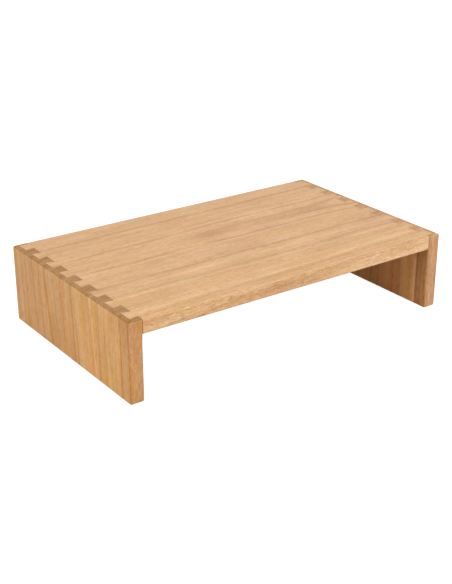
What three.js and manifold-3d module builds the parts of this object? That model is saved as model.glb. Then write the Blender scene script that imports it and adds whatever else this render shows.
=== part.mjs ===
// A low desk riser: one top panel on two full-depth leg panels, joined by half-blind dovetails.
// Every panel is edge-glued from solid-wood staves, and each stave is a mesh of its own.
// Millimetres. +X is right, +Y is back and +Z is up, from an origin on the floor under the middle.

import * as THREE from "three";
import { mergeVertices } from "three/addons/utils/BufferGeometryUtils.js";
import Module from "manifold-3d";

// Driving dimensions of the riser
const WIDTH = 500; // over the two legs
const DEPTH = 300; // front to back, the same for every panel
const HEIGHT = 108; // floor to top surface
const BOARD = 20; // thickness of the top and of the legs

// Eased arrises
const END_RADIUS = 3; // round the long outer edges of the top and the feet of the legs
const FACE_RADIUS = 2.8; // round the front and back edges of every panel
const ROUNDING_STEPS = 4; // flats that stand for each front or back rounding
const CORNER_STEPS = 3; // half the flats that stand for each end rounding

// Half-blind dovetails, one row along each end of the top
const TAIL_COUNT = 8;
const TAIL_PITCH = 38;
const TAIL_WIDTH = 18.5; // halfway along the tail
const TAIL_SLOPE = 5; // each side runs this far for every millimetre that it spreads
const LAP = 7.75; // wood of the leg left outside the tails' ends
const ROW_SHIFT = 1.5; // the left row sits this far behind the middle, the right row in front of it
const GLUE_LINE = 0.1; // clearance between a tail's sloping side and its socket

// Glue seams between staves, measured forward from the back edge
const TOP_SEAMS = [70, 192, 241];
const LEFT_LEG_SEAMS = [48, 92, 129, 167, 227, 281];
const RIGHT_LEG_SEAMS = [56, 132, 172, 211, 248, 279];

// Colour of each stave, back to front
const TOP_COLOURS = ["#d9af86", "#dbb189", "#dab088", "#ddb38a"];
const LEFT_LEG_COLOURS = ["#c59e6d", "#c79b6d", "#c29a66", "#c99d6e", "#caa068", "#c99e66", "#c5996a"];
const RIGHT_LEG_COLOURS = ["#c2935f", "#c59763", "#bf905c", "#c39460", "#c09361", "#cda06c", "#c1925e"];

// Worked out from the driving dimensions
const HALF_WIDTH = WIDTH / 2;
const HALF_DEPTH = DEPTH / 2;
const UNDERSIDE = HEIGHT - BOARD; // level of the top panel's lower face
const INNER_FACE = HALF_WIDTH - BOARD; // from the middle to a leg's inner face
const TAIL_LENGTH = BOARD - LAP;
const OVERRUN = 1; // how far a cutting block runs past the faces that it cuts

const LEFT = -1;
const RIGHT = 1;

const wasm = await Module();
wasm.setup();

// A closed three.js geometry as a solid that can be joined and cut.
function solidFrom(geometry) {
  const bare = geometry.clone();
  bare.deleteAttribute("normal");
  bare.deleteAttribute("uv");
  const merged = mergeVertices(bare);
  return new wasm.Manifold(
    new wasm.Mesh({
      numProp: 3,
      vertProperties: merged.getAttribute("position").array,
      triVerts: new Uint32Array(merged.index.array),
    }),
  );
}

// A solid back as a three.js geometry.
function geometryFrom(solid) {
  const mesh = solid.getMesh();
  const geometry = new THREE.BufferGeometry();
  geometry.setAttribute("position", new THREE.BufferAttribute(mesh.vertProperties, 3));
  geometry.setIndex(new THREE.BufferAttribute(mesh.triVerts, 1));
  const faceted = geometry.toNonIndexed();
  faceted.computeVertexNormals();
  return faceted;
}

// A rectangular block between two corners.
function block(low, high) {
  const size = high.map((value, axis) => value - low[axis]);
  const geometry = new THREE.BoxGeometry(...size);
  geometry.translate(low[0] + size[0] / 2, low[1] + size[1] / 2, low[2] + size[2] / 2);
  return solidFrom(geometry);
}

// Front view of the whole riser: an arch of three boards with rounded outer corners and feet.
function archOutline() {
  const r = END_RADIUS;
  const quarter = Math.PI / 2;
  const shape = new THREE.Shape();
  shape.moveTo(-HALF_WIDTH, r);
  shape.absarc(-HALF_WIDTH + r, HEIGHT - r, r, 2 * quarter, quarter, true);
  shape.absarc(HALF_WIDTH - r, HEIGHT - r, r, quarter, 0, true);
  shape.absarc(HALF_WIDTH - r, r, r, 0, -quarter, true);
  shape.absarc(INNER_FACE + r, r, r, -quarter, -2 * quarter, true);
  shape.lineTo(INNER_FACE, UNDERSIDE);
  shape.lineTo(-INNER_FACE, UNDERSIDE);
  shape.absarc(-INNER_FACE - r, r, r, 0, -quarter, true);
  shape.absarc(-HALF_WIDTH + r, r, r, -quarter, -2 * quarter, true);
  return shape;
}

// The finished riser as one eased outer form, which trims every stave to its rounded edges.
function easedForm() {
  const geometry = new THREE.ExtrudeGeometry(archOutline(), {
    depth: DEPTH - 2 * FACE_RADIUS,
    curveSegments: CORNER_STEPS,
    bevelEnabled: true,
    bevelThickness: FACE_RADIUS,
    bevelSize: FACE_RADIUS,
    bevelOffset: -FACE_RADIUS,
    bevelSegments: ROUNDING_STEPS,
  });
  geometry.rotateX(Math.PI / 2);
  geometry.translate(0, HALF_DEPTH - FACE_RADIUS, 0);
  return solidFrom(geometry);
}

// One tail, or with clearance the cutter for its socket, on the given side.
// It spreads outward in plan and reaches from behind the leg's inner face to the lap.
function tail(side, centreY, clearance, bottom, top) {
  const halfWidthAt = (reach) =>
    TAIL_WIDTH / 2 + (reach - TAIL_LENGTH / 2) / TAIL_SLOPE + clearance;
  const xAt = (reach) => side * (INNER_FACE + reach);
  const root = halfWidthAt(-OVERRUN);
  const tip = halfWidthAt(TAIL_LENGTH);
  const shape = new THREE.Shape();
  shape.moveTo(xAt(-OVERRUN), centreY - root);
  shape.lineTo(xAt(TAIL_LENGTH), centreY - tip);
  shape.lineTo(xAt(TAIL_LENGTH), centreY + tip);
  shape.lineTo(xAt(-OVERRUN), centreY + root);
  const geometry = new THREE.ExtrudeGeometry(shape, { depth: top - bottom, bevelEnabled: false });
  geometry.translate(0, 0, bottom);
  return solidFrom(geometry);
}

// Centres of the tails along one end, back to front.
function tailCentres(side) {
  const middle = -side * ROW_SHIFT;
  return Array.from(
    { length: TAIL_COUNT },
    (_, i) => middle + ((TAIL_COUNT - 1) / 2 - i) * TAIL_PITCH,
  );
}

// The top panel: a board between the legs with a row of tails on each end.
function topPanel() {
  let panel = block([-INNER_FACE, -HALF_DEPTH, UNDERSIDE], [INNER_FACE, HALF_DEPTH, HEIGHT]);
  for (const side of [LEFT, RIGHT]) {
    for (const centreY of tailCentres(side)) {
      panel = panel.add(tail(side, centreY, 0, UNDERSIDE, HEIGHT));
    }
  }
  return panel;
}

// A leg panel: a full-height board with a socket for each tail, which leaves the pins and the lap.
function legPanel(side) {
  const [lowX, highX] = side === LEFT ? [-HALF_WIDTH, -INNER_FACE] : [INNER_FACE, HALF_WIDTH];
  let panel = block([lowX, -HALF_DEPTH, 0], [highX, HALF_DEPTH, HEIGHT]);
  for (const centreY of tailCentres(side)) {
    panel = panel.subtract(tail(side, centreY, GLUE_LINE, UNDERSIDE, HEIGHT + OVERRUN));
  }
  return panel;
}

// The staves of one panel, cut at its glue seams and named from back to front.
function staves(name, panel, seams, colours, form) {
  const group = new THREE.Group();
  const edges = [0, ...seams, DEPTH];
  const finished = panel.intersect(form);
  colours.forEach((colour, i) => {
    const slab = block(
      [-HALF_WIDTH - OVERRUN, HALF_DEPTH - edges[i + 1], -OVERRUN],
      [HALF_WIDTH + OVERRUN, HALF_DEPTH - edges[i], HEIGHT + OVERRUN],
    );
    const material = new THREE.MeshStandardMaterial({ color: colour, roughness: 0.5, metalness: 0 });
    const stave = new THREE.Mesh(geometryFrom(finished.intersect(slab)), material);
    stave.name = `${name}_stave_${i + 1}`;
    group.add(stave);
  });
  return group;
}

const form = easedForm();
const riser = new THREE.Group();
riser.add(
  staves("top", topPanel(), TOP_SEAMS, TOP_COLOURS, form),
  staves("left_leg", legPanel(LEFT), LEFT_LEG_SEAMS, LEFT_LEG_COLOURS, form),
  staves("right_leg", legPanel(RIGHT), RIGHT_LEG_SEAMS, RIGHT_LEG_COLOURS, form),
);

export default riser;
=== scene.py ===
# Looks of a dovetailed monitor riser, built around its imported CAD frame.
# Metres, apart from places in the wood's grain, which are in millimetres. +X is right, +Y is back, +Z is up.
import math
from collections import namedtuple

import bmesh
import bpy
from mathutils import Euler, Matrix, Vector


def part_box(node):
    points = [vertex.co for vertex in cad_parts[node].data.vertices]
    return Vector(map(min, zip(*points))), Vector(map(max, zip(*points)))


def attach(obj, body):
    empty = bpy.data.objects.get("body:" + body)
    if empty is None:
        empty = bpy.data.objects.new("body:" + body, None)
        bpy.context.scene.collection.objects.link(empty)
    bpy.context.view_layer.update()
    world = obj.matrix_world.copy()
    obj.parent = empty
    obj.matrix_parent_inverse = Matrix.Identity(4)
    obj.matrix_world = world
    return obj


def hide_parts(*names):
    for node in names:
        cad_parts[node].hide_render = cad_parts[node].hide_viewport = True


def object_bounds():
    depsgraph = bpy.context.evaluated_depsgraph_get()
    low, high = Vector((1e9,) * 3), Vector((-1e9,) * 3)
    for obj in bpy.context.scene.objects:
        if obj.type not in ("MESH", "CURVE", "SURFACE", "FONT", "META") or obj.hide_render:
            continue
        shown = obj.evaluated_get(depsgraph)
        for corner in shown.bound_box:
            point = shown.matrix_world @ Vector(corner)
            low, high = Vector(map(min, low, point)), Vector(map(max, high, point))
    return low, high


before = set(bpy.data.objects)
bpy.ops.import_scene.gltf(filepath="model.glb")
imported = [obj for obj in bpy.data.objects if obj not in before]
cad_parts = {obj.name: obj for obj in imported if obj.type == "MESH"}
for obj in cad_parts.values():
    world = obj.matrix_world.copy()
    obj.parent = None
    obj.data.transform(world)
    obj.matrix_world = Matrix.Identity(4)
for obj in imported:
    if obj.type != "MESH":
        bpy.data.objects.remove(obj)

MM = 0.001
cad_low, cad_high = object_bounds()

# Sizes read from the frame
HALF_WIDTH = cad_high.x
HALF_DEPTH = cad_high.y
HEIGHT = cad_high.z
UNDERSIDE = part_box("top_stave_1")[0].z
INNER_FACE = -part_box("left_leg_stave_1")[1].x
TAIL_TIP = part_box("top_stave_1")[1].x

# Dovetail rows, as on the CAD parts
TAIL_COUNT = 8
TAIL_PITCH = 38 * MM
TAIL_WIDTH = 18.5 * MM  # halfway along the tail
TAIL_SLOPE = 5  # length along the tail for each unit that its side runs outwards
ROW_SHIFT = 1.5 * MM  # how far the left row sits behind the middle, and the right row in front of it
GLUE_LINE = 0.1 * MM  # room beside each tail

# Finish of the edges
EASE = 2.9 * MM  # radius of the rounded outer arrises
EASE_STEPS = 5  # facets in half of a rounding
GROOVE = 1.0 * MM  # radius that softens the butt joint showing in front and behind
GROOVE_SHARES = (0, 0.25, 0.6, 1)  # where its mesh lines run
JOINT_BEVEL = 0.14 * MM
JOINT_BEVEL_STEPS = 2
LARGE_FACE_WEIGHT = 60  # above 50, large faces outweigh small ones in the smooth shading
LONGEST_CELL = 14 * MM
SHARP_EDGE = math.radians(50)

LEFT = -1
RIGHT = 1
NEAR = 1e-7  # lengths that differ by less are the same
NEAR_IN_FRAME = 1e-6  # the same for lengths read from the frame

# Colours of the wood, in shares of full red, green and blue as the eye sees them
DISPLAY_GAMMA = 2.2
TAN = (0.825, 0.645, 0.455)
HONEY = (0.83, 0.643, 0.448)
GREY_TAN = (0.805, 0.60, 0.385)
ROSE_TAN = (0.81, 0.60, 0.385)
ROSE = (0.795, 0.583, 0.365)
AMBER = (0.84, 0.632, 0.39)
# The next three colours are for the right leg's fifth to seventh staves and hold painted light and shade: a
# redder shade hue on all three, lifted brightness on the fifth and sixth, and a darker tone on the seventh,
# for their inner face under the top
RUSSET_WITH_SHADE = (0.825, 0.575, 0.352)
PALE_AMBER_WITH_SHADE = (0.87, 0.626, 0.38)
UMBER_WITH_SHADE = (0.745, 0.54, 0.347)

# What the layers of the grain add to the colour at full strength
RING_SHIFT = (-0.025, -0.031, -0.034)
STREAK_SHIFT = (-0.038, -0.047, -0.052)
FIBRE_SHIFT = (-0.075, -0.092, -0.10)
BLOTCH_SHIFT = (0.034, 0.038, 0.036)
PORE_SHIFT = (-0.095, -0.114, -0.12)
VESSEL_SHIFT = (-0.06, -0.06, -0.06)
PATCH_SHIFT = (0.012, 0.01, 0.01)
# Painted shade: a slight darkening of the colour on the rounded arrises
EDGE_SHADE_SHIFT = (-0.01, -0.01, -0.008)

# What differs between the panels: how far the rings lean towards the back edge for each millimetre into
# the board, the shifts for growth lines, drifting hue, broad blushes and ray flecks, and the end grain
PanelLook = namedtuple("PanelLook", "ring_tilt line_shift drift_shift blush_shift ray_shift end_tone")
LEG_LINE_SHIFT = (-0.056, -0.072, -0.1)
LEG_RAY_SHIFT = (0.036, 0.043, 0.046)
PANEL_LOOKS = {
    "top": PanelLook(
        ring_tilt=0.35,
        line_shift=(-0.06, -0.07, -0.077),
        drift_shift=(0.009, -0.003, -0.016),
        blush_shift=(0.005, -0.005, 0.014),
        ray_shift=(0.055, 0.067, 0.076),
        end_tone=(0.675, 0.48, 0.28),
    ),
    "left": PanelLook(
        ring_tilt=0.35,
        line_shift=LEG_LINE_SHIFT,
        drift_shift=(0.017, -0.007, -0.046),
        blush_shift=(0.006, -0.006, 0.032),
        ray_shift=LEG_RAY_SHIFT,
        end_tone=(0.665, 0.484, 0.283),
    ),
    "right": PanelLook(
        ring_tilt=-0.35,
        line_shift=LEG_LINE_SHIFT,
        drift_shift=(0.012, -0.006, -0.03),
        blush_shift=(0.004, -0.004, 0.02),
        ray_shift=LEG_RAY_SHIFT,
        end_tone=(0.748, 0.57, 0.392),
    ),
}

# Waves in the grain: length along it, width across it, and how far they push it sideways, in millimetres
WAVES = ((150, 60, 2.6), (36, 14, 0.7))

# The pith under the arched figure, in millimetres
PITH_DEPTH = 60  # below the face at the left end
PITH_ACROSS = 115  # from the back edge at the right end
PITH_BEND = 7  # how much further forward it lies at the left end

# How much the square of the pith's depth falls towards the right, in square millimetres
STEADY_RISE = 42
SWELL_RISE = 198
SWELL_START = 0.32  # share of the riser's width
SWELL_STOP = 0.54
END_RISE = 360
END_RISE_POWER = 20  # the higher, the nearer to the right end

DARKEST_LINE = 2  # the most that a growth line's darkness may be
LINE_MARGIN = 1  # plain wood beyond the outermost growth lines, in millimetres
END_EVENNESS = 0.8  # how much of the drift in hue is left out on end grain
LONG_RAY_SHARE = 0.35
SEED_STEP = 7.3  # how far apart two staves lie in the noise

# Each stave's colour, how far its growth lines lean towards the back edge per millimetre along the grain,
# and the lines: (millimetres from the back edge, darkness, softness behind, softness in front). The place
# is the one at the left end or the foot, and a line with a darkness below 0 is light.
# The second stave of the top has an arched figure, and there the first number is the ring's radius.
STAVES = {
    "top_stave_1": (TAN, 0.02, (
        (4, -0.4, 3, 8), (43.5, 1.0, 7, 2.5), (60, 0.5, 4, 2.5), (66, -0.2, 2, 2),
    )),
    "top_stave_2": (TAN, None, (
        (58.6, 0.95, 1.3, 1.3), (63, -0.35, 2.2, 1), (65.3, 0.85, 1.2, 0.9), (67.5, -0.35, 1, 3),
    )),
    "top_stave_3": (TAN, 0.0, (
        (195, 1.0, 2, 7), (212, -0.6, 7, 4), (231, 0.5, 9, 2), (236.5, -0.7, 2.5, 2), (241, 0.4, 2, 2),
    )),
    # Painted light: the fourth stave's light line at 318 brightens the top's front edge towards the right
    # end
    "top_stave_4": (HONEY, 0.03, (
        (243, 0.4, 2, 6), (263, 0.25, 8, 3), (284, -0.7, 14, 3), (293, 0.5, 4, 2), (302.5, 0.7, 1.1, 0.8),
        (306, -0.7, 2.6, 2.6), (309.7, 0.9, 0.8, 0.6), (318, -1.5, 7.4, 14),
    )),
    "left_leg_stave_1": (GREY_TAN, 0.03, (
        (3, -0.6, 2, 3), (9, 0.9, 2, 5), (20, -0.5, 4, 4), (28, 0.4, 3, 2), (33, -0.4, 2, 2),
        (39, 0.9, 2, 3),
    )),
    "left_leg_stave_2": (GREY_TAN, 0.08, (
        (55, 0.4, 3, 2), (64, 0.8, 4, 2), (70, -0.3, 2, 3), (81, 0.9, 4, 2), (90, -0.2, 3, 3),
        (98, 1.2, 4, 3),
    )),
    "left_leg_stave_3": (ROSE_TAN, 0.13, (
        (103.5, 1.4, 5, 3), (112, 0.3, 3, 3), (118, -0.3, 3, 3), (126, 0.6, 4, 2.5), (134, -0.2, 3, 3),
    )),
    "left_leg_stave_4": (ROSE_TAN, 0.06, (
        (141, 0.7, 4, 2), (153, -0.5, 5, 4), (167, 0.8, 4, 3),
    )),
    "left_leg_stave_5": (AMBER, 0.1, (
        (175, 0.9, 3, 3), (187, -0.4, 6, 6), (201, 0.4, 3, 3), (213, 0.4, 4, 2), (221, -0.7, 5, 4),
    )),
    "left_leg_stave_6": (AMBER, 0.01, (
        (228, 0.9, 2, 3), (236, -0.3, 3, 3), (245, 0.5, 3, 2), (251, -0.4, 3, 3), (258, 0.4, 2, 2),
        (269, 0.6, 3, 2), (274, -0.2, 2, 2), (280.5, 1.3, 2.5, 1.5),
    )),
    "left_leg_stave_7": (ROSE, 0.0, (
        (283, 0.9, 1, 2), (290, -0.3, 3, 2), (300, 1.4, 2.5, 1.5), (306, 0.3, 4, 3),
    )),
    "right_leg_stave_1": (GREY_TAN, 0.02, ((18, 0.6, 6, 3), (40, 0.7, 6, 3))),
    "right_leg_stave_2": (ROSE_TAN, 0.03, ((70, 0.8, 5, 3), (92, 0.8, 6, 3), (116, 0.6, 4, 3))),
    "right_leg_stave_3": (GREY_TAN, 0.02, ((141, 0.9, 4, 3), (158, 0.8, 5, 3))),
    "right_leg_stave_4": (ROSE, 0.02, ((181, 0.9, 4, 3), (197, 0.8, 4, 3))),
    # The fifth to seventh staves of the right leg carry painted light and shade in their colours, set for
    # their inner face under the top
    "right_leg_stave_5": (RUSSET_WITH_SHADE, 0.01, ((202, 0.7, 3, 3), (214, -0.3, 4, 3), (226, 0.7, 6, 3))),
    "right_leg_stave_6": (PALE_AMBER_WITH_SHADE, 0.01, (
        (242, 0.5, 2, 2), (250, -0.5, 4, 6), (261, 0.5, 3, 3), (270, -0.9, 5, 4),
    )),
    # Painted shade and light: the dark lines at 274 to 290 darken the inner face under the top, and the
    # light line at 295.5 brightens the front face
    "right_leg_stave_7": (UMBER_WITH_SHADE, 0.0, (
        (274, 1.4, 6, 3), (281, 0.8, 3, 3), (290, 0.9, 5, 3), (295.5, -1.0, 2, 6),
    )),
}

# Stage, light and camera
STAGE_RADIUS = 20
FLOOR_DROP = 0.05 * MM
FLOOR_GREY = 0.3
FLOOR_GLOW = 0.95
BOUNCE_GREY = 0.6
WORLD_LIGHT = 0.8
SOFTBOXES = {  # place, size, watts
    "front_softbox": ((1.3, -3.0, 1.5), 1.6, 38),
    "left_softbox": ((-3.0, -0.5, 2.2), 1.8, 39),
    "back_softbox": ((2.4, 2.6, 2.2), 2.0, 5),
}
CAMERA_PLACE = (-0.8330, -1.1612, 0.6556)
CAMERA_TURN = 35.49  # degrees from +Y towards +X
CAMERA_TILT = 23.64  # degrees below level
CAMERA_LENS = 69.34  # focal length in millimetres


# ---------------------------------------------------------------- shapes

def tail_centres(side):
    """Y of the tails along one end of the top."""
    middle = -side * ROW_SHIFT
    return [middle + ((TAIL_COUNT - 1) / 2 - i) * TAIL_PITCH for i in range(TAIL_COUNT)]


def tail_edges(side):
    """For each side of each tail, its line halfway along the tail and the way out of the tail."""
    return [
        (centre + way * TAIL_WIDTH / 2, way)
        for centre in tail_centres(side)
        for way in (-1, 1)
    ]


def in_tail(side, y):
    return any(abs(y - centre) < TAIL_WIDTH / 2 for centre in tail_centres(side))


def slanted(side, x, y, clearance):
    """y moved onto the slanting side of its tail, if it lies on one."""
    reach = abs(x) - INNER_FACE
    middle = (TAIL_TIP - INNER_FACE) / 2
    for line, way in tail_edges(side):
        if abs(y - line) < NEAR:
            return line + way * ((reach - middle) / TAIL_SLOPE + clearance)
    return y


def arris_stops(face, inward):
    """Lines from the start of a rounding out to its face, an equal turn apart."""
    start = face + inward * EASE
    return [
        start - inward * EASE * math.tan(math.pi / 4 * i / EASE_STEPS)
        for i in range(EASE_STEPS + 1)
    ]


def groove_stops(face, inward):
    """Lines that give the small rounding of a butt joint its shape."""
    return [face + inward * GROOVE * share for share in GROOVE_SHARES]


def filled(stops):
    """The stops in order without doubles, with every wide gap split evenly."""
    ordered = []
    for stop in sorted(stops):
        if not ordered or stop - ordered[-1] > NEAR:
            ordered.append(stop)
    lines = ordered[:1]
    for a, b in zip(ordered, ordered[1:]):
        count = math.ceil((b - a) / LONGEST_CELL)
        lines += [a + (b - a) * i / count for i in range(1, count + 1)]
    return lines


def stave_y_stops(low, high, sides):
    """Lines across a stave: its seams or rounded faces, and the tail sides within it."""
    stops = [low, high]
    if abs(low + HALF_DEPTH) < NEAR_IN_FRAME:
        stops += arris_stops(-HALF_DEPTH, 1)
    if abs(high - HALF_DEPTH) < NEAR_IN_FRAME:
        stops += arris_stops(HALF_DEPTH, -1)
    for side in sides:
        stops += [line for line, _ in tail_edges(side) if low < line < high]
    return filled(stops)


def eased(point):
    """A point of the square-edged riser drawn in onto its rounded arrises."""
    x, y, z = point
    cores = (
        ((-HALF_WIDTH, HALF_WIDTH), (UNDERSIDE, HEIGHT)),
        ((-HALF_WIDTH, -INNER_FACE), (0, HEIGHT)),
        ((INNER_FACE, HALF_WIDTH), (0, HEIGHT)),
    )
    best = None
    for (x0, x1), (z0, z1) in cores:
        core = Vector((
            min(max(x, x0 + EASE), x1 - EASE),
            min(max(y, -HALF_DEPTH + EASE), HALF_DEPTH - EASE),
            min(max(z, z0 + EASE), z1 - EASE),
        ))
        away = point - core
        if best is None or away.length < best[1].length - NEAR:
            best = (core, away)
    core, away = best
    if away.length > EASE:
        return core + away * (EASE / away.length)
    return point


def rounded_butt(point, inward):
    """A point near the front or back end of a butt joint, drawn in so that its arris is soft.
    inward is the direction along X from the joint into the piece."""
    side = LEFT if point.x < 0 else RIGHT
    beside = (point.x - side * INNER_FACE) * inward
    behind = HALF_DEPTH - abs(point.y)
    if beside < -NEAR or beside > GROOVE or behind > GROOVE:
        return point
    away = Vector((GROOVE - beside, GROOVE - behind))
    if away.length <= GROOVE:
        return point
    away *= GROOVE / away.length
    return Vector((
        side * INNER_FACE + inward * (GROOVE - away.x),
        math.copysign(HALF_DEPTH - GROOVE + away.y, point.y),
        point.z,
    ))


def linked_object(name, mesh):
    """An object in the scene with the bmesh as its data. The bmesh is used up."""
    data = bpy.data.meshes.new(name)
    mesh.to_mesh(data)
    mesh.free()
    made = bpy.data.objects.new(name, data)
    bpy.context.scene.collection.objects.link(made)
    return made


def shell(name, lines, is_solid, place):
    """The closed quad mesh round the solid cells of a grid, each corner put in its place."""
    xs, ys, zs = lines
    counts = (len(xs) - 1, len(ys) - 1, len(zs) - 1)
    solid = {
        (i, j, k)
        for i in range(counts[0])
        for j in range(counts[1])
        for k in range(counts[2])
        if is_solid((xs[i] + xs[i + 1]) / 2, (ys[j] + ys[j + 1]) / 2, (zs[k] + zs[k + 1]) / 2)
    }
    corner_sets = {
        (-1, 0, 0): ((0, 0, 0), (0, 0, 1), (0, 1, 1), (0, 1, 0)),
        (1, 0, 0): ((1, 0, 0), (1, 1, 0), (1, 1, 1), (1, 0, 1)),
        (0, -1, 0): ((0, 0, 0), (1, 0, 0), (1, 0, 1), (0, 0, 1)),
        (0, 1, 0): ((0, 1, 0), (0, 1, 1), (1, 1, 1), (1, 1, 0)),
        (0, 0, -1): ((0, 0, 0), (0, 1, 0), (1, 1, 0), (1, 0, 0)),
        (0, 0, 1): ((0, 0, 1), (1, 0, 1), (1, 1, 1), (0, 1, 1)),
    }
    mesh = bmesh.new()
    made = {}

    def corner(index):
        if index not in made:
            i, j, k = index
            made[index] = mesh.verts.new(place(Vector((xs[i], ys[j], zs[k]))))
        return made[index]

    for i, j, k in sorted(solid):
        for (di, dj, dk), corners in corner_sets.items():
            if (i + di, j + dj, k + dk) not in solid:
                mesh.faces.new([corner((i + a, j + b, k + c)) for a, b, c in corners])
    mesh.normal_update()
    return linked_object(name, mesh)


def soften_edges(piece, low, high):
    """A hair-fine bevel on the joint lines, none on the flush glued seams, and smooth shading."""
    data = piece.data
    mesh = bmesh.new()
    mesh.from_mesh(data)
    weights = mesh.edges.layers.float.new("bevel_weight_edge")
    seams = [y for y in (low.y, high.y) if HALF_DEPTH - abs(y) > NEAR_IN_FRAME]
    for face in mesh.faces:
        face.smooth = True
    for edge in mesh.edges:
        if edge.calc_face_angle(0) < SHARP_EDGE:
            continue
        if any(all(abs(vert.co.y - seam) < NEAR_IN_FRAME for vert in edge.verts) for seam in seams):
            edge.smooth = False
        else:
            edge[weights] = 1
    mesh.to_mesh(data)
    mesh.free()
    bevel = piece.modifiers.new("softened", "BEVEL")
    bevel.limit_method = "WEIGHT"
    bevel.width = JOINT_BEVEL
    bevel.segments = JOINT_BEVEL_STEPS
    normals = piece.modifiers.new("shading", "WEIGHTED_NORMAL")
    normals.keep_sharp = True
    normals.weight = LARGE_FACE_WEIGHT


def top_stave(node):
    low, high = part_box(node)
    xs = []
    for side in (LEFT, RIGHT):
        xs.append(side * TAIL_TIP)
        xs += groove_stops(side * INNER_FACE, -side)
    lines = (
        filled(xs),
        stave_y_stops(low.y, high.y, (LEFT, RIGHT)),
        filled(arris_stops(UNDERSIDE, 1) + arris_stops(HEIGHT, -1)),
    )

    def is_solid(x, y, z):
        return abs(x) < INNER_FACE or in_tail(LEFT if x < 0 else RIGHT, y)

    def place(point):
        side = LEFT if point.x < 0 else RIGHT
        if abs(point.x) > INNER_FACE - NEAR:
            point.y = slanted(side, point.x, point.y, 0)
        return eased(rounded_butt(point, -side))

    piece = shell(f"{node}_wood", lines, is_solid, place)
    soften_edges(piece, low, high)
    return piece


def leg_stave(node, side):
    low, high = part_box(node)
    lines = (
        filled(
            arris_stops(side * INNER_FACE, side)
            + groove_stops(side * INNER_FACE, side)
            + [side * TAIL_TIP]
            + arris_stops(side * HALF_WIDTH, -side)
        ),
        stave_y_stops(low.y, high.y, (side,)),
        filled(
            arris_stops(0, 1)
            + [UNDERSIDE, UNDERSIDE + EASE]
            + arris_stops(HEIGHT, -1)
        ),
    )

    def is_solid(x, y, z):
        return not (z > UNDERSIDE and abs(x) < TAIL_TIP and in_tail(side, y))

    def place(point):
        if point.z > UNDERSIDE - NEAR:
            if abs(point.x) < TAIL_TIP + NEAR:
                point.y = slanted(side, point.x, point.y, GLUE_LINE)
            point = rounded_butt(point, side)
        return eased(point)

    piece = shell(f"{node}_wood", lines, is_solid, place)
    soften_edges(piece, low, high)
    return piece


# ---------------------------------------------------------------- wood

class Shading:
    """Adds nodes to a material and joins them up."""

    def __init__(self, material):
        self.tree = material.node_tree

    def add(self, kind, values=(), **settings):
        """A new node with its first sockets fed by the values."""
        node = self.tree.nodes.new(kind)
        for name, setting in settings.items():
            setattr(node, name, setting)
        for socket, value in zip(node.inputs, values):
            self.feed(socket, value)
        return node

    def feed(self, socket, value):
        if isinstance(value, bpy.types.NodeSocket):
            self.tree.links.new(value, socket)
        else:
            socket.default_value = value

    def number(self, operation, *values):
        return self.add("ShaderNodeMath", values, operation=operation).outputs[0]

    def vector(self, operation, *values):
        return self.add("ShaderNodeVectorMath", values, operation=operation).outputs[0]

    def combined(self, x, y, z):
        return self.add("ShaderNodeCombineXYZ", (x, y, z)).outputs[0]

    def length(self, x, y):
        node = self.add("ShaderNodeVectorMath", (self.combined(x, y, 0),), operation="LENGTH")
        return node.outputs["Value"]

    def summed(self, start, *terms):
        """The start plus amount x weight for each of the terms."""
        for amount, weight in terms:
            start = self.number("MULTIPLY_ADD", amount, weight, start)
        return start

    def tinted(self, colour, *layers):
        """The colour moved by amount x shift for each of the layers."""
        for amount, shift in layers:
            colour = self.vector("MULTIPLY_ADD", amount, shift, colour)
        return colour

    def ramped(self, value, low, high, start=0, end=1, smooth=False):
        """The value taken from low..high to start..end, and held there beyond."""
        node = self.add("ShaderNodeMapRange", (value, low, high, start, end))
        node.interpolation_type = "SMOOTHSTEP" if smooth else "LINEAR"
        return node.outputs[0]

    def noise(self, place, detail, roughness):
        """Smooth noise at the place, around 0 and mostly within -1..1."""
        node = self.add("ShaderNodeTexNoise")
        self.feed(node.inputs["Vector"], place)
        node.inputs["Scale"].default_value = 1
        node.inputs["Detail"].default_value = detail
        node.inputs["Roughness"].default_value = roughness
        return self.ramped(node.outputs[0], 0.2, 0.8, -1, 1)


def grain_place(shading, panel):
    """Millimetres along the grain, across it from the back edge, and below the outer face."""
    place = shading.add("ShaderNodeTexCoord").outputs["Object"]
    parts = shading.add("ShaderNodeSeparateXYZ", (place,)).outputs
    across = shading.number("MULTIPLY_ADD", parts["Y"], -1 / MM, HALF_DEPTH / MM)
    if panel == "top":
        along = shading.number("MULTIPLY_ADD", parts["X"], 1 / MM, HALF_WIDTH / MM)
        depth = shading.number("MULTIPLY_ADD", parts["Z"], -1 / MM, HEIGHT / MM)
        return along, across, depth
    along = shading.number("MULTIPLY", parts["Z"], 1 / MM)
    sideways = shading.number("ABSOLUTE", parts["X"])
    depth = shading.number("MULTIPLY_ADD", sideways, -1 / MM, HALF_WIDTH / MM)
    return along, across, depth


def cathedral_rings(shading, along, across, depth):
    """Distance from a pith that rises towards the face, so that the rings close in arches."""
    share = shading.number("DIVIDE", along, 2 * HALF_WIDTH / MM)
    rest = shading.number("SUBTRACT", 1, share)
    bend = shading.number("MULTIPLY", rest, rest)
    middle = shading.summed(PITH_ACROSS, (bend, PITH_BEND))
    swell = shading.ramped(share, SWELL_START, SWELL_STOP, smooth=True)
    upturn = shading.number("POWER", share, END_RISE_POWER)
    square = shading.summed(
        PITH_DEPTH ** 2,
        (share, -STEADY_RISE),
        (swell, -SWELL_RISE),
        (upturn, -END_RISE),
    )
    below = shading.number("ADD", shading.number("SQRT", square), depth)
    beside = shading.number("SUBTRACT", across, middle)
    return shading.length(beside, below)


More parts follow.
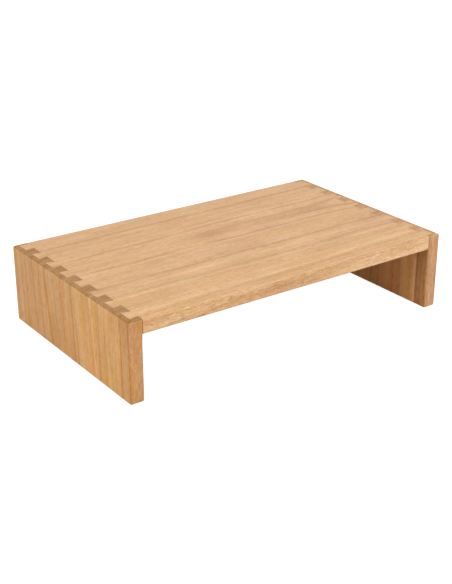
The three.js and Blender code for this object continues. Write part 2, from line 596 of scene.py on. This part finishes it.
class Grain:
    """Places in one board in millimetres, and noise that follows its grain."""

    def __init__(self, shading, panel, seed, slant):
        self.shading = shading
        self.seed = seed
        self.along, self.across, self.depth = grain_place(shading, panel)
        self.waved = shading.summed(self.across, *(
            (self.flecks(length, width, self.across, detail=1), push)
            for length, width, push in WAVES
        ))
        if slant is None:
            self.ring = cathedral_rings(shading, self.along, self.waved, self.depth)
        else:
            tilt = PANEL_LOOKS[panel].ring_tilt
            self.ring = shading.summed(self.waved, (self.along, slant), (self.depth, tilt))

    def flecks(self, length, width, beside, detail, roughness=0.5):
        """Noise in flecks of that length along the grain and width across it."""
        place = self.shading.combined(
            self.shading.number("MULTIPLY_ADD", self.along, 1 / length, self.seed),
            self.shading.number("MULTIPLY_ADD", beside, 1 / width, self.seed),
            self.shading.number("MULTIPLY", self.depth, 1 / width),
        )
        return self.shading.noise(place, detail, roughness)


def growth_lines(shading, grain, lines):
    """Darkness of the drawn growth lines, stronger in some stretches than in others."""
    low = lines[0][0] - lines[0][2] - LINE_MARGIN
    high = lines[-1][0] + lines[-1][3] + LINE_MARGIN
    node = shading.add("ShaderNodeValToRGB", (shading.ramped(grain.ring, low, high),))
    ramp = node.color_ramp
    ramp.interpolation = "EASE"
    ramp.elements.remove(ramp.elements[1])
    ramp.elements[0].color = (0.5, 0.5, 0.5, 1)
    for place, darkness, before, after in lines:
        for stop, dark in ((place - before, 0), (place, darkness), (place + after, 0)):
            grey = 0.5 + dark / (2 * DARKEST_LINE)
            element = ramp.elements.new((stop - low) / (high - low))
            element.color = (grey, grey, grey, 1)
    drawn = shading.number("MULTIPLY_ADD", node.outputs["Color"], 2 * DARKEST_LINE, -DARKEST_LINE)
    stretches = grain.flecks(length=120, width=14, beside=grain.ring, detail=1)
    fade = shading.ramped(stretches, low=-1, high=1, start=0.5, end=1.35)
    return shading.number("MULTIPLY", drawn, fade)


def face_kinds(shading, panel):
    """How far a spot is on end grain, on the front or back face, and on a rounded edge, from 0 to 1."""
    normal = shading.add("ShaderNodeTexCoord").outputs["Normal"]
    facing = shading.vector("ABSOLUTE", normal)
    sides = shading.add("ShaderNodeSeparateXYZ", (facing,)).outputs
    end = shading.ramped(sides["X" if panel == "top" else "Z"], low=0.3, high=0.75, smooth=True)
    larger = shading.number("MAXIMUM", sides["Y"], sides["Z"])
    largest = shading.number("MAXIMUM", sides["X"], larger)
    # how far a spot is on a rounded edge: painted shade in its colour, wear in its lower roughness
    wear_and_edge_shade = shading.ramped(largest, low=0.97, high=0.8, smooth=True)
    return end, sides["Y"], wear_and_edge_shade


def wood(name, panel, seed, tone, slant, lines):
    """One board of solid hardwood, cut from its own part of the tree."""
    material = bpy.data.materials.new(name)
    material.use_nodes = True
    shading = Shading(material)
    look = PANEL_LOOKS[panel]
    grain = Grain(shading, panel, seed, slant)
    ring = grain.ring
    waved = grain.waved
    end, frontal, wear_and_edge_shade = face_kinds(shading, panel)

    fine_rings = grain.flecks(length=700, width=3.2, beside=ring, detail=3, roughness=0.65)
    streaks = grain.flecks(length=60, width=3.6, beside=waved, detail=3, roughness=0.65)
    stretches = grain.flecks(length=240, width=50, beside=grain.across, detail=1)
    coarseness = shading.ramped(stretches, low=-0.5, high=0.5, start=0.8, end=1.75)
    fibres = grain.flecks(length=11, width=1.0, beside=waved, detail=3, roughness=0.85)
    fibres = shading.number("MULTIPLY", fibres, coarseness)
    blotches = grain.flecks(length=80, width=30, beside=waved, detail=2)
    pores = grain.flecks(length=10, width=0.75, beside=waved, detail=1)
    pores = shading.ramped(pores, low=0.25, high=0.75)

    bands = grain.flecks(length=220, width=12, beside=ring, detail=2)
    stripes = grain.flecks(length=70, width=5, beside=waved, detail=2)
    long_grain = shading.summed(1, (end, -END_EVENNESS))
    drift = shading.number("MULTIPLY", shading.number("ADD", stripes, bands), long_grain)
    blush = grain.flecks(length=130, width=26, beside=waved, detail=2)
    blush = shading.number("MULTIPLY", blush, long_grain)

    long_rays = grain.flecks(length=16, width=2.4, beside=waved, detail=1)
    short_rays = grain.flecks(length=4, width=0.8, beside=waved, detail=1)
    rays = shading.summed(short_rays, (long_rays, LONG_RAY_SHARE))
    rays = shading.number("MULTIPLY", rays, frontal)

    vessels = shading.ramped(grain.flecks(length=4, width=0.9, beside=waved, detail=2), low=0.2, high=0.75)
    vessels = shading.number("MULTIPLY", vessels, end)
    patches = shading.number("MULTIPLY", grain.flecks(length=300, width=24, beside=waved, detail=1), end)

    colour = shading.tinted(
        tone,
        (growth_lines(shading, grain, lines), look.line_shift),
        (fine_rings, RING_SHIFT),
        (streaks, STREAK_SHIFT),
        (fibres, FIBRE_SHIFT),
        (blotches, BLOTCH_SHIFT),
        (pores, PORE_SHIFT),
        (drift, look.drift_shift),
        (blush, look.blush_shift),
        (rays, look.ray_shift),
        (end, [sawn - planed for sawn, planed in zip(look.end_tone, tone)]),
        (vessels, VESSEL_SHIFT),
        (patches, PATCH_SHIFT),
        # painted shade along the rounded arrises
        (wear_and_edge_shade, EDGE_SHADE_SHIFT),
    )
    roughness = shading.summed(0.5, (fibres, 0.05), (streaks, 0.03), (end, 0.08), (wear_and_edge_shade, -0.08))
    relief = shading.summed(0, (fibres, 0.4), (pores, -1), (streaks, 0.3))
    finish_board(material, shading, colour, roughness, relief)
    return material


def finish_board(material, shading, colour, roughness, relief):
    """Gives the board its colour, its soft sheen and, as a fine bump, its relief."""
    shader = material.node_tree.nodes["Principled BSDF"]
    as_light = shading.add("ShaderNodeGamma", (colour, DISPLAY_GAMMA)).outputs[0]
    shading.feed(shader.inputs["Base Color"], as_light)
    shading.feed(shader.inputs["Roughness"], roughness)
    shader.inputs["IOR"].default_value = 1.45
    bump = shading.add("ShaderNodeBump")
    bump.inputs["Strength"].default_value = 0.35
    bump.inputs["Distance"].default_value = 0.06 * MM
    shading.feed(bump.inputs["Height"], relief)
    shading.feed(shader.inputs["Normal"], bump.outputs[0])


# ---------------------------------------------------------------- assembly

for index, (node, (tone, slant, lines)) in enumerate(STAVES.items()):
    panel = node.split("_")[0]
    if panel == "top":
        piece = top_stave(node)
    else:
        piece = leg_stave(node, LEFT if panel == "left" else RIGHT)
    piece.data.materials.append(wood(f"{node}_grain", panel, SEED_STEP * index, tone, slant, lines))
    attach(piece, "root")
    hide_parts(node)


# ---------------------------------------------------------------- stage, light and camera

def paper(name, grey, glow):
    """Matt paper, which may give off white light of its own."""
    material = bpy.data.materials.new(name)
    material.use_nodes = True
    shader = material.node_tree.nodes["Principled BSDF"]
    shader.inputs["Base Color"].default_value = (grey, grey, grey, 1)
    shader.inputs["Roughness"].default_value = 1
    shader.inputs["Specular IOR Level"].default_value = 0
    shader.inputs["Emission Color"].default_value = (1, 1, 1, 1)
    shader.inputs["Emission Strength"].default_value = glow
    return material


def stage_sheet(name, mesh, grey, glow):
    sheet = linked_object(name, mesh)
    sheet.data.materials.append(paper(f"{name}_paper", grey, glow))
    return sheet


def disc(name, height, grey, glow):
    mesh = bmesh.new()
    bmesh.ops.create_circle(mesh, cap_ends=True, segments=96, radius=STAGE_RADIUS)
    sheet = stage_sheet(name, mesh, grey, glow)
    sheet.location.z = height
    return sheet


def hide_from_light(sheet):
    """Leaves the sheet for the camera to see, and lets the light through."""
    sheet.visible_diffuse = False
    sheet.visible_glossy = False
    sheet.visible_shadow = False


def floor():
    """A white floor for the camera, and under it a greyer one that throws light back on the riser."""
    hide_from_light(disc("floor", -FLOOR_DROP, FLOOR_GREY, FLOOR_GLOW))
    bounce = disc("floor_bounce", -2 * FLOOR_DROP, BOUNCE_GREY, glow=0)
    bounce.visible_camera = False


def backdrop():
    """White all round, for views from low down."""
    mesh = bmesh.new()
    bmesh.ops.create_uvsphere(mesh, u_segments=48, v_segments=24, radius=STAGE_RADIUS)
    hide_from_light(stage_sheet("backdrop", mesh, grey=0, glow=1))


def softbox(name, place, size, power):
    """A square lamp that faces the middle of the riser."""
    data = bpy.data.lights.new(name, "AREA")
    data.shape = "SQUARE"
    data.size = size
    data.energy = power
    lamp = bpy.data.objects.new(name, data)
    lamp.location = place
    aim = Vector((0, 0, HEIGHT / 2)) - Vector(place)
    lamp.rotation_euler = aim.to_track_quat("-Z", "Y").to_euler()
    bpy.context.scene.collection.objects.link(lamp)


def studio():
    """White light from all round, and the softboxes."""
    world = bpy.data.worlds.new("studio")
    world.use_nodes = True
    background = world.node_tree.nodes["Background"]
    background.inputs["Color"].default_value = (1, 1, 1, 1)
    background.inputs["Strength"].default_value = WORLD_LIGHT
    bpy.context.scene.world = world
    for name, (place, size, power) in SOFTBOXES.items():
        softbox(name, place, size, power)
    bpy.context.scene.view_settings.view_transform = "Standard"


def camera():
    data = bpy.data.cameras.new("camera")
    data.lens = CAMERA_LENS
    eye = bpy.data.objects.new("camera", data)
    eye.location = CAMERA_PLACE
    eye.rotation_euler = Euler((math.radians(90 - CAMERA_TILT), 0, math.radians(-CAMERA_TURN)))
    bpy.context.scene.collection.objects.link(eye)
    bpy.context.scene.camera = eye


floor()
backdrop()
studio()
camera()
